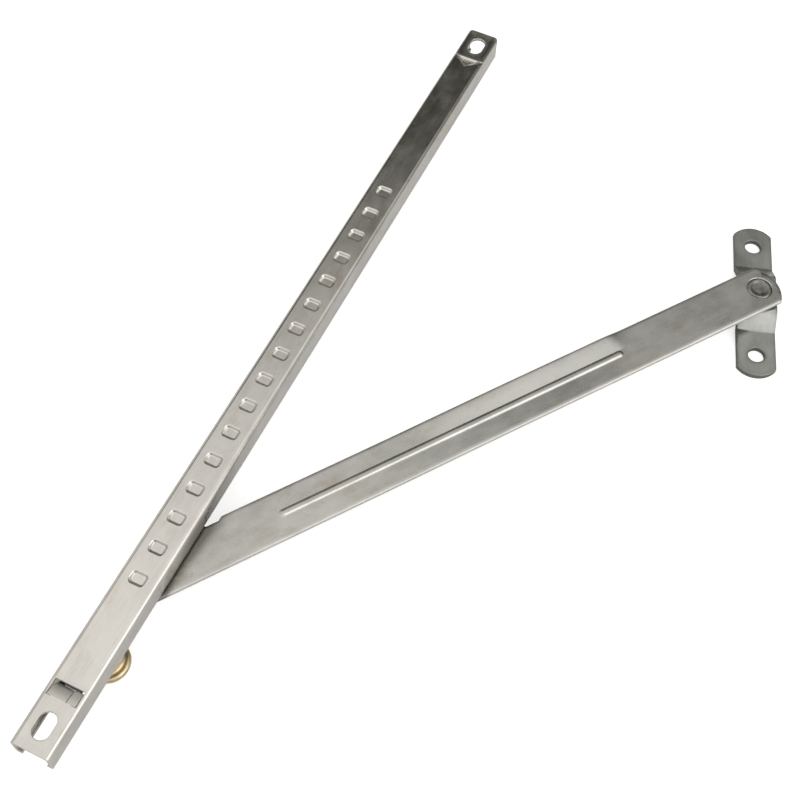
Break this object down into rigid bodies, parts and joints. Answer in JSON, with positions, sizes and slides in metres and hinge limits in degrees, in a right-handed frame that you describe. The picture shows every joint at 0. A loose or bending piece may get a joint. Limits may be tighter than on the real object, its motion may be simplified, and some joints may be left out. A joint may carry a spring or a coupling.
{
  "type": "friction stay hinge",
  "caption": "Friction stay for a side-hung window: a slotted channel track, a sliding carriage with a thumb knob, a swinging arm and a joggled foot bracket.",
  "frame": {"origin": "middle of the two screw slots, on the outer face of the track's web", "axes": "+X along the track from its twin-tab end to its pointed-tab end, +Z out of the web's outer face, away from the arm"},
  "size_m": [0.3, 0.1516, 0.0178],
  "materials": {
    "track_steel": "rolled stainless sheet, fine lengthwise grain, light scuffs",
    "arm_steel": "rolled stainless strip, satin, tumbled edges",
    "foot_steel": "rolled stainless strip, satin, tumbled edges",
    "rivet_steel": "spun and pressed stainless rivet",
    "washer_steel": "punched stainless washer",
    "spring_steel": "hardened spring steel",
    "cast_zinc": "dull cast zinc alloy",
    "nylon": "natural nylon",
    "knob_brass": "turned brass",
    "bush_bronze": "sintered bronze"
  },
  "bodies": {
    "track": {"track": "track_steel"},
    "slider": {"slider_block": "cast_zinc", "rear_glide_shoe": "nylon", "front_glide_shoe": "nylon", "detent_leaf": "spring_steel", "leaf_rivets": "rivet_steel", "pivot_rivet": "rivet_steel", "upper_slide_washer": "nylon", "lower_slide_washer": "nylon", "pivot_disc_spring": "spring_steel", "lock_stud": "rivet_steel", "clamp_washer": "washer_steel", "split_lock_washer": "spring_steel"},
    "knob": {"brass_knob": "knob_brass"},
    "arm": {"arm": "arm_steel", "arm_bush": "bush_bronze"},
    "foot": {"foot_bracket": "foot_steel", "foot_rivet": "rivet_steel", "foot_friction_washer": "nylon", "foot_backing_washer": "washer_steel"}
  },
  "joints": [
    {"name": "track_slide", "type": "slide", "parent": "track", "child": "slider", "axis": [1, 0, 0], "range_m": [-0.0003, 0.2084], "deforming": ["detent_leaf"]},
    {"name": "knob_turn", "type": "hinge", "parent": "slider", "child": "knob", "pos_m": [-0.1162, 0, 0], "axis": [0, 0, 1], "continuous": true},
    {"name": "arm_swing", "type": "hinge", "parent": "slider", "child": "arm", "pos_m": [-0.0896, 0, 0], "axis": [0, 0, 1], "range_deg": [-74.4, 145.6]},
    {"name": "foot_swivel", "type": "hinge", "parent": "arm", "child": "foot", "pos_m": [0.08944, -0.12818, 0], "axis": [0, 0, 1], "continuous": true}
  ]
}
